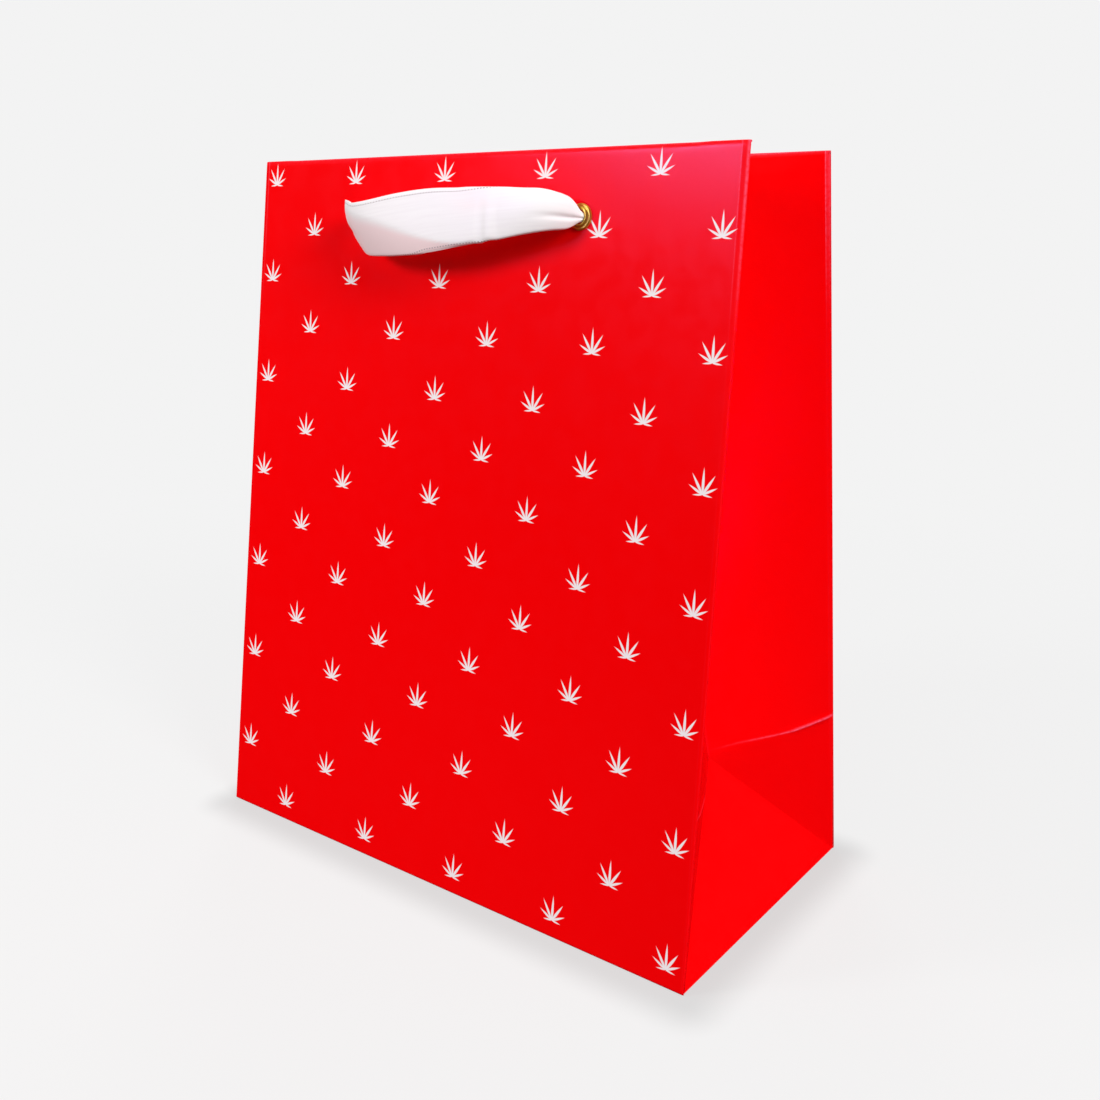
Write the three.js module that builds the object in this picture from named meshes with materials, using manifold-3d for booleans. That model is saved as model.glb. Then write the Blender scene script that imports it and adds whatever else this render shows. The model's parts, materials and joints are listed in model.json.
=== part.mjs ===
// Paper gift bag with gusseted sides, brass eyelets and short satin ribbon handles.
// Millimetres, +Z up. X is the bag's width, Y its depth (front at -Y), the origin is under the base.
import * as THREE from "three";
import { mergeVertices } from "three/addons/utils/BufferGeometryUtils.js";
import Module from "manifold-3d";

const wasm = await Module();
wasm.setup();

// Driving dimensions of the bag.
const WIDTH = 203;
const DEPTH = 106;
const WALL_HEIGHT = 246; // along the wall, which leans inwards
const WALL_LEAN = THREE.MathUtils.degToRad(6.05);
const PAPER = 0.4;
const CARD = 0.8; // reinforcement card inside the turned-in top
const BASE_CARD = 1.0;
const GAP = 0.3; // free space between neighbouring layers
const HEM_HEIGHT = 30;
const HEM_INSET = 14; // the hem and its card stop short of the corners, where the gusset folds
const SEAM_FLAP_WIDTH = 12;
const HALF_W = WIDTH / 2;
const HALF_D = DEPTH / 2;

// Motion that the clearances are worked out for.
const MOUTH_TRAVEL = THREE.MathUtils.degToRad(3.4); // each way from rest
const GUSSET_RATIO = 5.6; // gusset turn per wall turn

// Gusset folds: the pivot line runs just inside the wall's side edge.
const PIVOT_DEPTH = PAPER + GAP + 0.1;
const PIVOT_SIDE = 0.4;
const HINGE_START = 0.3;
const FOLD_CLEARANCE = 1.7; // measured along an edge of the square fold pattern
const GUSSET_ROWS = 12;
const GUSSET_COLUMNS = 4;
const HEM_ROWS = 5;

// Eyelets and ribbons.
const EYELET_X = 46;
const EYELET_DROP = 21.4; // below the top edge
const EYELET_Z = WALL_HEIGHT - EYELET_DROP;
const EYELET_BORE = 2.2;
const EYELET_BARREL = 2.6;
const EYELET_FLANGE = 4.2;
const EYELET_HOLE = EYELET_BARREL + GAP;
const RIBBON_WIDTH = 21;
const RIBBON_SOLID = 0.8; // thickness of the plain solid
const NECK_RADIUS = 1.5;
const NECK_OUT = 3.5;
const ROUND_STEPS = 20;
const KNOT_RADIUS = 4.4;
const TAIL_LENGTH = 20;
const TAIL_WIDTH = 12;

// Depths from the wall's outer face to the inner face of each layer of the top edge.
const CARD_IN = PAPER + GAP;
const HEM_IN = CARD_IN + CARD + GAP;
const WASHER_IN = HEM_IN + PAPER + GAP;
const FLARE_IN = WASHER_IN + GAP + GAP;
const KNOT_IN = FLARE_IN + PAPER + GAP;

const redPaper = new THREE.MeshStandardMaterial({ color: 0xe3000b, roughness: 0.32, metalness: 0 });
const whitePaper = new THREE.MeshStandardMaterial({ color: 0xf2efe8, roughness: 0.8, metalness: 0 });
const greyCard = new THREE.MeshStandardMaterial({ color: 0xb9b1a2, roughness: 0.95, metalness: 0 });
const brass = new THREE.MeshStandardMaterial({ color: 0xc9952c, roughness: 0.28, metalness: 1 });
const satin = new THREE.MeshStandardMaterial({ color: 0xf7f0f1, roughness: 0.45, metalness: 0 });

function mesh(name, geometry, material) {
  const made = new THREE.Mesh(geometry, material);
  made.name = name;
  return made;
}

// A geometry as a manifold-3d solid.
function solid(geometry) {
  const bare = new THREE.BufferGeometry();
  const flat = geometry.index ? geometry.toNonIndexed() : geometry;
  bare.setAttribute("position", flat.getAttribute("position"));
  const merged = mergeVertices(bare, 1e-4);
  return new wasm.Manifold(
    new wasm.Mesh({
      numProp: 3,
      vertProperties: merged.attributes.position.array,
      triVerts: new Uint32Array(merged.index.array),
    }),
  );
}

function geometryOf(manifold) {
  const made = manifold.getMesh();
  const geometry = new THREE.BufferGeometry();
  geometry.setAttribute("position", new THREE.BufferAttribute(made.vertProperties, 3));
  geometry.setIndex(new THREE.BufferAttribute(made.triVerts, 1));
  return geometry;
}

// A flat plate: an outline in (x, z), with y running from near to far.
function plate(points, near, far, holes = []) {
  const shape = new THREE.Shape(points.map(([x, z]) => new THREE.Vector2(x, z)));
  for (const [x, z, radius] of holes) {
    const hole = new THREE.Path();
    hole.absarc(x, z, radius, 0, 2 * Math.PI, true);
    shape.holes.push(hole);
  }
  const geometry = new THREE.ExtrudeGeometry(shape, { depth: far - near, bevelEnabled: false, curveSegments: 12 });
  geometry.rotateX(Math.PI / 2);
  return geometry.translate(0, far, 0);
}

function rectangle(x0, z0, x1, z1) {
  return [[x0, z0], [x1, z0], [x1, z1], [x0, z1]];
}

// A closed solid from rings of points, each ring with the same number of points.
function loft(rings) {
  const count = rings[0].length;
  const positions = rings.flat().flatMap((p) => [p.x, p.y, p.z]);
  const index = [];
  for (let i = 0; i + 1 < rings.length; i++) {
    for (let j = 0; j < count; j++) {
      const a = i * count + j;
      const b = i * count + ((j + 1) % count);
      const firstHalf = j < count / 2; // opposite faces of a twisted sheet split along the same diagonal
      if (firstHalf) index.push(a, b, b + count, a, b + count, a + count);
      else index.push(a, b, a + count, b, b + count, a + count);
    }
  }
  const last = (rings.length - 1) * count;
  for (let j = 1; j + 1 < count; j++) {
    index.push(0, j + 1, j, last, last + j, last + j + 1);
  }
  const geometry = new THREE.BufferGeometry();
  geometry.setAttribute("position", new THREE.Float32BufferAttribute(positions, 3));
  geometry.setIndex(index);
  return geometry;
}

// The gusset half's fold angle from the wall's normal, at height s along a wall that leans by lean:
// the two halves of the gusset meet in the bag's middle plane.
function foldAngle(s, lean) {
  const toMiddle = (HALF_D - s * Math.sin(lean)) / Math.cos(lean) - PIVOT_DEPTH;
  return Math.acos(Math.min(1, toMiddle / (HALF_D - PIVOT_DEPTH)));
}

// How far a gusset half reaches from its pivot line at height s and stays on its own side of the
// middle plane, through the whole travel of the mouth.
function gussetReach(s) {
  const rest = foldAngle(s, WALL_LEAN);
  const reaches = [-1, -0.5, 0, 0.5, 1].map((share) => {
    const lean = WALL_LEAN + share * MOUTH_TRAVEL;
    const angle = rest + share * MOUTH_TRAVEL * GUSSET_RATIO;
    const toMiddle = (HALF_D - GAP - s * Math.sin(lean)) / Math.cos(lean) - PIVOT_DEPTH;
    return (toMiddle - PAPER * Math.sin(angle)) / Math.cos(angle);
  });
  return Math.min(HALF_D - PIVOT_DEPTH, ...reaches);
}

// A point on a gusset half in the wall's own frame: s up the wall, reach from the pivot line,
// out beyond the sheet's inner face. side is +1 at the wall's +X edge and -1 at the other.
function gussetPoint(side, s, reach, out, angle) {
  const x = HALF_W - PIVOT_SIDE - reach * Math.sin(angle) + out * Math.cos(angle);
  const y = PIVOT_DEPTH + reach * Math.cos(angle) + out * Math.sin(angle);
  return new THREE.Vector3(side * x, y, s);
}

// A strip of gusset between two heights, twisting with the fold angle.
function gussetStrip(side, low, high, start, endInset, inner, outer, rows) {
  const rings = [];
  for (let i = 0; i <= rows; i++) {
    const s = low + ((high - low) * i) / rows;
    const angle = foldAngle(s, WALL_LEAN);
    const end = gussetReach(s) - endInset;
    const across = (out) => {
      const points = [];
      for (let k = 0; k <= GUSSET_COLUMNS; k++) {
        const reach = THREE.MathUtils.lerp(start, end, k / GUSSET_COLUMNS);
        points.push(gussetPoint(side, s, reach, out, angle));
      }
      return points;
    };
    const ring = [...across(outer), ...across(inner).reverse()];
    rings.push(side < 0 ? ring.reverse() : ring);
  }
  return loft(rings);
}

// The small flat triangle of the gusset beside the wall, below the level fold.
function sideTriangle(side) {
  const angle = foldAngle(HALF_D, WALL_LEAN);
  const top = HALF_D - 2 * GAP;
  const outline = [
    [HINGE_START + FOLD_CLEARANCE, HINGE_START],
    [top, HINGE_START],
    [top, top - FOLD_CLEARANCE],
  ];
  const rings = [0, PAPER].map((out) => {
    const ring = outline.map(([s, reach]) => gussetPoint(side, s, reach, out, angle));
    return side > 0 ? ring.reverse() : ring;
  });
  return loft(rings);
}

function eyeletGeometry() {
  const rim = [
    [EYELET_BORE, FLARE_IN],
    [EYELET_BORE, -1.0],
    [EYELET_BORE + 0.35, -1.35],
    [EYELET_BORE + 0.9, -1.3],
    [EYELET_BORE + 1.2, -0.95],
    [EYELET_FLANGE - 0.5, -0.85],
    [EYELET_FLANGE - 0.1, -0.7],
    [EYELET_FLANGE, -GAP],
    [EYELET_BARREL, -GAP],
    [EYELET_BARREL, WASHER_IN + GAP + GAP],
    [EYELET_BARREL + 1.0, FLARE_IN],
    [EYELET_BARREL + 0.9, FLARE_IN + PAPER],
    [EYELET_BORE, FLARE_IN + 0.2],
    [EYELET_BORE, FLARE_IN],
  ];
  // LatheGeometry turns about Y, and Y is the wall's inward normal here.
  return new THREE.LatheGeometry(rim.map(([r, y]) => new THREE.Vector2(r, y)), ROUND_STEPS);
}

function washerGeometry() {
  const section = [
    [EYELET_HOLE, WASHER_IN],
    [EYELET_FLANGE, WASHER_IN],
    [EYELET_FLANGE, WASHER_IN + GAP],
    [EYELET_HOLE, WASHER_IN + GAP],
    [EYELET_HOLE, WASHER_IN],
  ];
  return new THREE.LatheGeometry(section.map(([r, y]) => new THREE.Vector2(r, y)), ROUND_STEPS);
}

// The ribbon's gathered end: a neck through the eyelet, the knot inside the wall and its tail.
function knotGeometry() {
  const knotCentre = KNOT_IN + KNOT_RADIUS;
  const neckLength = NECK_OUT + knotCentre;
  const neck = new THREE.CylinderGeometry(NECK_RADIUS, NECK_RADIUS, neckLength, 12);
  neck.translate(0, neckLength / 2 - NECK_OUT, 0);
  const knot = new THREE.SphereGeometry(KNOT_RADIUS, 16, 10);
  knot.translate(0, knotCentre, 0);
  const tail = new THREE.BoxGeometry(TAIL_WIDTH, RIBBON_SOLID, TAIL_LENGTH);
  tail.translate(0, knotCentre, -TAIL_LENGTH / 2);
  return geometryOf(solid(neck).add(solid(knot)).add(solid(tail)));
}

// The ribbon between the necks: [x, distance out from the wall, rise above the eyelets, width].
const RIBBON_PATH = [
  [46.0, 4.0, 0.0, 4.5],
  [44.8, 7.4, 0.5, 7.5],
  [40.5, 10.0, 1.0, 11],
  [32.0, 11.8, 1.6, 14],
  [20.0, 13.0, 1.6, 17],
  [5.0, 13.8, 0.6, 19.5],
  [-12.0, 14.2, -0.8, RIBBON_WIDTH],
  [-30.0, 14.0, -2.0, RIBBON_WIDTH],
  [-43.0, 12.8, -2.4, RIBBON_WIDTH],
  [-50.0, 10.2, -2.0, 18],
  [-52.0, 7.4, -1.2, 13],
  [-50.2, 5.2, -0.4, 8],
  [-47.0, 4.4, 0.0, 4.5],
];

function ribbonGeometry() {
  const centres = RIBBON_PATH.map(([x, out, rise]) => new THREE.Vector3(x, -out, rise));
  const curve = new THREE.CatmullRomCurve3(centres);
  const steps = 36;
  const rings = [];
  for (let i = 0; i <= steps; i++) {
    const share = i / steps;
    const centre = curve.getPoint(share);
    const along = curve.getTangent(share);
    const normal = new THREE.Vector3(along.y, -along.x, 0).normalize().multiplyScalar(RIBBON_SOLID / 2);
    const place = share * (RIBBON_PATH.length - 1);
    const from = Math.min(Math.floor(place), RIBBON_PATH.length - 2);
    const width = THREE.MathUtils.lerp(RIBBON_PATH[from][3], RIBBON_PATH[from + 1][3], place - from);
    const half = new THREE.Vector3(0, 0, width / 2);
    rings.push([
      centre.clone().add(normal).sub(half),
      centre.clone().sub(normal).sub(half),
      centre.clone().sub(normal).add(half),
      centre.clone().add(normal).add(half),
    ]);
  }
  return loft(rings);
}

// One wall with everything fixed to it. Its frame stands on the bottom fold: X along the fold,
// Y inwards, Z up the wall. The back wall is the same wall turned half a turn about the bag's middle.
function wall(name, turn) {
  const group = new THREE.Group();
  const sideName = (side) => (side * Math.cos(turn) > 0 ? "right" : "left");
  const holes = [-1, 1].map((side) => [side * EYELET_X, EYELET_Z, EYELET_HOLE]);
  const hemHalf = HALF_W - HEM_INSET;
  const hemLow = WALL_HEIGHT - HEM_HEIGHT;

  const panel = plate(rectangle(-HALF_W, GAP, HALF_W, WALL_HEIGHT), 0, PAPER, holes);
  group.add(mesh(name + "_panel", panel, redPaper));
  const card = plate(rectangle(-hemHalf, hemLow + 1, hemHalf, WALL_HEIGHT - 0.6), CARD_IN, CARD_IN + CARD, holes);
  group.add(mesh(name + "_top_card", card, greyCard));
  const hem = plate(rectangle(-hemHalf, hemLow, hemHalf, WALL_HEIGHT), HEM_IN, HEM_IN + PAPER, holes);
  group.add(mesh(name + "_hem", hem, redPaper));

  for (const side of [-1, 1]) {
    const corner = name + "_" + sideName(side);
    const foldHeight = HALF_D + 2 * GAP;
    const half = gussetStrip(side, foldHeight, WALL_HEIGHT, HINGE_START, 0, 0, PAPER, GUSSET_ROWS);
    group.add(mesh("gusset_" + corner, half, redPaper));
    const turnedIn = gussetStrip(side, hemLow, WALL_HEIGHT, PIVOT_DEPTH + 2, 2, -GAP - PAPER, -GAP, HEM_ROWS);
    group.add(mesh("gusset_hem_" + corner, turnedIn, redPaper));
    group.add(mesh("side_triangle_" + corner, sideTriangle(side), redPaper));

    for (const [part, geometry, material] of [
      ["_eyelet", eyeletGeometry(), brass],
      ["_eyelet_washer", washerGeometry(), brass],
      ["_ribbon_knot", knotGeometry(), satin],
    ]) {
      const piece = mesh(corner + part, geometry, material);
      piece.position.set(side * EYELET_X, 0, EYELET_Z);
      group.add(piece);
    }
  }

  const ribbon = mesh(name + "_ribbon_handle", ribbonGeometry(), satin);
  ribbon.position.z = EYELET_Z;
  group.add(ribbon);

  group.position.y = -HALF_D;
  group.rotation.x = -WALL_LEAN;
  const turned = new THREE.Group();
  turned.rotation.z = turn;
  turned.add(group);
  return { turned, group };
}

// A folded-in bottom triangle of a side, hinged on the base's side edge.
function bottomTriangle(side) {
  const angle = foldAngle(HALF_D, WALL_LEAN);
  const reach = HALF_D - PIVOT_DEPTH;
  const inset = reach * Math.sin(angle);
  const inward = PIVOT_DEPTH + reach * Math.cos(angle);
  const apexHeight = HALF_D * Math.cos(WALL_LEAN) - inward * Math.sin(WALL_LEAN);
  const tilt = Math.atan2(inset, apexHeight);
  const outline = [
    [-HALF_D + FOLD_CLEARANCE + GAP, GAP],
    [HALF_D - FOLD_CLEARANCE - GAP, GAP],
    [0, HALF_D - FOLD_CLEARANCE],
  ];
  const geometry = plate(outline, -PAPER, 0);
  geometry.rotateZ(side * Math.PI / 2);
  geometry.rotateY(-side * tilt);
  geometry.translate(side * (HALF_W - PIVOT_SIDE), 0, GAP);
  return mesh("bottom_triangle_" + (side > 0 ? "right" : "left"), geometry, redPaper);
}

// The glued base: front and back flaps lap under two side flaps, with a loose card on top.
function base() {
  const group = new THREE.Group();
  const flapX = HALF_W - 1;
  const flapY = HALF_D - 1;
  const lap = 18; // each flap reaches this far past the middle
  const step = PAPER + GAP;

  const front = new THREE.BoxGeometry(2 * flapX, flapY + lap, PAPER);
  front.translate(0, (lap - flapY) / 2, PAPER / 2);
  group.add(mesh("base_flap_front", front, redPaper));

  const profile = [
    [flapY, 0], [flapY, PAPER], [lap + 2, PAPER], [lap + 1, step + PAPER],
    [-lap, step + PAPER], [-lap, step], [lap + 0.6, step], [lap + 1.2, 0],
  ];
  const backShape = new THREE.Shape(profile.map(([y, z]) => new THREE.Vector2(y, z)));
  const back = new THREE.ExtrudeGeometry(backShape, { depth: 2 * flapX, bevelEnabled: false });
  back.rotateY(Math.PI / 2).rotateX(Math.PI / 2).translate(-flapX, 0, 0);
  group.add(mesh("base_flap_back", back, redPaper));

  const sideOuter = HALF_W - 2;
  const sideInner = sideOuter - HALF_D + 3;
  const mitre = 14;
  for (const side of [-1, 1]) {
    const corners = [
      [sideOuter, -flapY + 1], [sideOuter, flapY - 1],
      [sideInner, flapY - 1 - mitre], [sideInner, -flapY + 1 + mitre],
    ];
    const shape = new THREE.Shape(corners.map(([x, y]) => new THREE.Vector2(side * x, y)));
    const flap = new THREE.ExtrudeGeometry(shape, { depth: PAPER, bevelEnabled: false });
    flap.translate(0, 0, 2 * step);
    group.add(mesh("base_flap_" + (side > 0 ? "right" : "left"), flap, redPaper));
  }

  const boardX = HALF_W - 3;
  const boardY = HALF_D - 2.2;
  const board = new THREE.BoxGeometry(2 * boardX, 2 * boardY, BASE_CARD);
  board.translate(0, 0, 3 * step + BASE_CARD / 2);
  group.add(mesh("base_board", board, greyCard));
  return group;
}

const bag = new THREE.Group();
bag.add(base());
const front = wall("front", 0);
const back = wall("back", Math.PI);
bag.add(front.turned, back.turned);

// The sheet's glued seam, inside the back wall beside its left corner.
const seamOuter = HALF_W - PIVOT_DEPTH - 2.7;
const seam = plate(
  rectangle(seamOuter - SEAM_FLAP_WIDTH, 5, seamOuter, WALL_HEIGHT - HEM_HEIGHT - 1),
  PAPER + GAP,
  2 * PAPER + GAP,
);
back.group.add(mesh("seam_flap", seam, redPaper));

for (const side of [-1, 1]) {
  bag.add(bottomTriangle(side));
}

export default bag;
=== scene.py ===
"""Looks of the paper gift bag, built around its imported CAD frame. Metres, +Z up, front at -Y."""
import json
import math

import bpy
from mathutils import Matrix, Vector, noise


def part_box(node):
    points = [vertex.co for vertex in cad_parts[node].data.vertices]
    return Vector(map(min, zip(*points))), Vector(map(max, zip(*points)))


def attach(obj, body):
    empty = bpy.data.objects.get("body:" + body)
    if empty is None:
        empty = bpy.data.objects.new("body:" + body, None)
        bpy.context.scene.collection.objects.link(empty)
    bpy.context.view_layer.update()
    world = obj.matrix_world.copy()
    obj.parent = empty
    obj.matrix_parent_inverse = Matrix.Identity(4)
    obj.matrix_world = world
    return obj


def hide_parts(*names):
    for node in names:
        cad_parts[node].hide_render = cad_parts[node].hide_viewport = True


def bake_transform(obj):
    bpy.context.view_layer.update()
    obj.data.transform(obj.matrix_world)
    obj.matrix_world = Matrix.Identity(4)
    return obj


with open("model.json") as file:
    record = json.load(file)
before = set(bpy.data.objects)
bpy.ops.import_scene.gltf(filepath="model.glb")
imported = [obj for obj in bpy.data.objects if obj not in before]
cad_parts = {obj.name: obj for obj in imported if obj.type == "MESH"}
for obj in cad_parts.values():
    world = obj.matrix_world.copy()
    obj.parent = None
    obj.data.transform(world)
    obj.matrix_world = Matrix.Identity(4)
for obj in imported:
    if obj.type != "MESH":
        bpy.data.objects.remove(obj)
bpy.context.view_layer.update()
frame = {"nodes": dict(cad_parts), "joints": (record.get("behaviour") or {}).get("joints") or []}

MM = 0.001
UP = Vector((0, 0, 1))

# Sizes read from the frame.
joints = {joint["name"]: joint for joint in frame["joints"]}
fold_axis = Vector(joints["front_right_gusset_fold"]["axis"])
panel_low, panel_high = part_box("front_panel")
eyelet_low, eyelet_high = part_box("front_right_eyelet")
EYELET_LIFT = 0.3 * MM  # the metal sits a little above the middle of the CAD's eyelet
LEAN = math.atan2(abs(fold_axis.y), abs(fold_axis.z))
HALF_W = (panel_high.x - panel_low.x) / 2
HALF_D = abs(joints["front_wall_lean"]["pos_m"][1])
WALL = panel_high.z / math.cos(LEAN)  # height along the wall's slope
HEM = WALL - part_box("front_hem")[0].z / math.cos(LEAN)
HEM_HALF_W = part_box("front_hem")[1].x  # the reinforcement card ends here
EYELET_X = (eyelet_low.x + eyelet_high.x) / 2
EYELET_S = (eyelet_low.z + eyelet_high.z) / 2 / math.cos(LEAN) + EYELET_LIFT
EYELET_R = (eyelet_high.x - eyelet_low.x) / 2

# Paper and folds.
PAPER = 0.4 * MM
HEM_DEPTH = 2.2 * MM  # outer face of the wall to the face of its turned-in hem, over the card
HEM_DEPTH_BARE = 0.95 * MM  # the same where there is no card between them
PIVOT_DEPTH = 0.8 * MM
PIVOT_SIDE = 0.4 * MM
GUSSET_REACH = HALF_D - PIVOT_DEPTH
# The strip past the centre crease, which keeps it closed as the sides fold.
CREASE_LAP = 1.7 * MM
LAP_COLUMNS = (0.4 * MM, 1.0 * MM, CREASE_LAP)
LAP_SETBACK = 0.4 * MM
TUCK = 2.5 * MM  # how far a side triangle runs on behind the triangle under it
GUSSET_HEM_DEPTH = 0.5 * MM
FOLD_STRIP = 2.1 * MM  # flattened strip beside each corner fold, at the top of the wall
STRIP_TILT = 0.10
WALL_BOW = 2.0 * MM  # how far the middle of a wall sinks in
WALL_RIPPLE = 0.25 * MM
GUSSET_RIPPLE = 0.5 * MM
NOSE = 0.5 * MM  # rounding of a corner fold
HOLE_R = 2.9 * MM
HOLE_STEPS = 40
BORE_R = 2.2 * MM
FOLD_STAND = 0.7 * MM  # how far the level fold stands proud of the side
FOLD_RISE = 2.0 * MM  # how much higher its middle lies
FOLD_DIP = 1.0 * MM  # and how much lower it runs where its lip ends
FOLD_FADE = 22 * MM  # height over which it fades into the flat paper above
FOLD_LIP = 0.45 * MM
FOLD_LIP_END = 20 * MM
FRONT_PALE_LINE = 0.2  # the pale line, cracked ink with a painted highlight, is fainter on the front half of each level fold than on the back half

# Ribbon.
RIBBON_WIDTH = 21 * MM
RIBBON_THICK = 0.35 * MM
PICK_INSET = 1.25 * MM  # the line of picks inside each selvedge
PICK_PERIOD = 0.00115
FLOAT_PERIOD = 0.00024  # the weave's lengthwise and crosswise threads
WEFT_PERIOD = 0.00042

# Print: two interleaved rows of small leaves.
LEAF_PITCH_X = 42.0 * MM
LEAF_PITCH_Y = 35.2 * MM
LEAF_TOP_ROW = 239.2 * MM
LEAF_EVEN_X = -10.6 * MM
LEAF_ODD_SHIFT = 21.8 * MM
LEAF_ODD_DROP = 18.1 * MM
PRINT_JOIN = 176 * MM  # below this height the pattern sits a little lower
PRINT_JOIN_DROP = 2.3 * MM
LEAF_SIZE = 7.7 * MM  # middle leaflet

# One leaflet each: angle from upright in degrees, length and half width as shares of the leaf's size.
LEAFLETS = ((0, 1.0, 0.078), (33, 0.89, 0.078), (63, 0.68, 0.066), (97, 0.42, 0.048))

# The ribbon's path in its wall's frame, in millimetres. Each row gives its upper edge, then its lower
# edge, as x, out from the wall, rise above the eyelets. Then: the share of the width (-1 to 1) below which
# it turns down, the pleat's depth, and how far the middle of the width bellies out.
RIBBON_PATH = (
    (46.4, -0.6, 1.4, 46.4, -0.6, -1.4, -1.0, 0.8, 0.0),
    (46.7, 1.5, 1.7, 46.6, 1.5, -1.7, -1.0, 0.9, 0.0),
    (45.2, 4.2, 4.7, 44.4, 4.0, -3.6, -1.0, 0.8, 0.3),
    (41.5, 7.4, 6.2, 41.0, 7.0, -4.3, -1.0, 0.4, 0.8),
    (37.0, 9.6, 7.0, 37.0, 9.0, -5.0, -1.0, 0.1, 1.0),
    (31.0, 11.2, 7.0, 31.0, 10.6, -6.1, -1.0, 0.0, 0.8),
    (22.0, 12.6, 7.2, 22.0, 12.0, -7.9, -1.0, 0.0, 0.6),
    (10.0, 13.6, 7.2, 10.0, 13.0, -10.1, -0.95, 0.0, 0.5),
    (-4.0, 14.2, 7.1, -4.0, 13.4, -12.4, -0.55, 0.0, 0.4),
    (-18.0, 14.4, 5.8, -17.0, 12.8, -13.3, -0.1, 0.0, 0.4),
    (-32.0, 14.0, 3.8, -27.0, 11.4, -13.5, 0.4, 0.0, 0.3),
    (-40.5, 12.8, 3.2, -34.0, 9.8, -13.3, 0.65, 0.0, 0.3),
    (-45.6, 10.8, 4.6, -38.6, 7.6, -12.1, 0.8, 0.2, 1.2),
    (-47.4, 8.4, 4.0, -42.0, 5.6, -9.6, 0.85, 0.6, 1.8),
    (-47.4, 5.4, 2.8, -44.6, 4.2, -5.8, 0.9, 0.8, 1.0),
    (-46.7, 2.6, 2.2, -46.0, 2.4, -2.8, 0.9, 0.9, 0.2),
    (-46.4, -0.6, 1.4, -46.4, -0.6, -1.4, 0.9, 0.8, 0.0),
)
RIBBON_ROWS = 130
RIBBON_COLUMNS = 30
ROLL_COLUMNS = 6
ROLL_TURN = 2.75  # radians that a rolled-back edge turns through
RIBBON_EASE = 1.2 * MM  # cloth on each side that the ribbon's curve takes up

# Knot inside each eyelet, and the ribbon's cut tail.
KNOT_FROM = 4.1 * MM
KNOT_TO = 12.4 * MM
KNOT_LOOPS = 2.35
KNOT_LOOP_R = 2.3 * MM
KNOT_STEPS = 150
KNOT_RING = 14
STRIP_COLUMNS = 7
NECK_DEPTHS = (-0.4 * MM, 1.0 * MM, 2.5 * MM, 4.0 * MM, 6.0 * MM)
NECK_WIDTHS = (3.4 * MM, 3.2 * MM, 3.2 * MM, 3.2 * MM, 3.6 * MM)
TAIL_DROPS = ((1, 0), (4, 0.8), (7, 1.2), (11, 1.0), (15, 0.3), (19.5, -0.4))  # down and inward, in mm
TAIL_WIDTHS = (3.5 * MM, 5.5 * MM, 8 * MM, 10 * MM, 11.4 * MM, 12 * MM)

# Inks.
RED = (0.93, 0.0, 0.0012, 1)
RED_DEEP = (0.84, 0.0, 0.0010, 1)
# pale pink of the folds: cracked ink, with a painted highlight along each fold
FOLD_CRACK_AND_HIGHLIGHT = (0.97, 0.12, 0.22, 1)
INK_WHITE = (0.90, 0.83, 0.85, 1)

# Camera.
CAMERA_AT = (0.25949, -0.32473, 0.21930)
CAMERA_AZIMUTH = 36.55
CAMERA_DOWN = 9.30
CAMERA_ROLL = 0.27
LENS = 38.69
SHIFT = (-0.0137, -0.1136)

# Backdrop, floor and light.
BACKDROP = 0.896
FLOOR_RADIUS = 12.0
FLOOR_DROP = 0.05 * MM  # keeps the floor just under the bag's foot
FOOT_SHADE = 0.22  # how much darker the floor is against the bag's foot
FOOT_SHADE_REACH = 16 * MM
FOOT_SHADE_SHIFT = 2.5 * MM  # towards the right and the front
FLOOR_ALBEDO = 0.75
FLOOR_GLOW = 0.88
AMBIENT = 0.37
GLOSS_AMBIENT = 0.0
LAMP_AIM = (0, 0, 0.12)
# Lamps: centre, size, power.
KEYS = {
    "left_key": ((-0.66, -0.79, 0.58), 0.32, 7.4),
    "right_key": ((1.42, -0.45, 0.85), 0.60, 23.0),
    "overhead": ((0.0, -0.70, 2.40), 1.60, 6.0),
    "rear_key": ((-1.20, 1.40, 1.00), 0.80, 14.0),
}
# Cards seen only in gloss: centre, point faced, width, height, colour, strength.
CARDS = {
    "sheen_card": ((-0.56, -1.12, 0.74), (0.09, -0.03, 0.23), 0.36, 0.36, (0.55, 0.38, 1.0), 26.0),
    "side_card": ((1.10, -0.40, 0.14), (0.08, 0.02, 0.2), 0.14, 0.16, (0.4, 0.0, 1.0), 14.0),
    "top_card_light": ((0.0, -0.3, 1.6), (0, 0, 0.2), 1.2, 1.2, (1.0, 1.0, 1.0), 0.9),
    "rear_card": ((-0.9, 1.2, 0.8), (0, 0, 0.15), 0.7, 0.6, (1.0, 0.7, 0.95), 1.2),
}

WALL_TURNS = {"front": 0.0, "back": math.pi}


def make_camera():
    azimuth, down, roll = (math.radians(a) for a in (CAMERA_AZIMUTH, CAMERA_DOWN, CAMERA_ROLL))
    forward = Vector((
        -math.sin(azimuth) * math.cos(down),
        math.cos(azimuth) * math.cos(down),
        -math.sin(down),
    ))
    right = forward.cross(UP).normalized()
    up = right.cross(forward)
    rolled_right = math.cos(roll) * right + math.sin(roll) * up
    rolled_up = -math.sin(roll) * right + math.cos(roll) * up
    turn = Matrix((rolled_right, rolled_up, -forward)).transposed().to_4x4()
    data = bpy.data.cameras.new("camera")
    data.sensor_width = 36
    data.lens = LENS
    data.shift_x, data.shift_y = SHIFT
    data.clip_start = 0.01
    camera = bpy.data.objects.new("camera", data)
    camera.matrix_world = Matrix.Translation(CAMERA_AT) @ turn
    bpy.context.scene.collection.objects.link(camera)
    bpy.context.scene.camera = camera


# ---- Materials ----------------------------------------------------------------------------------


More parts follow.
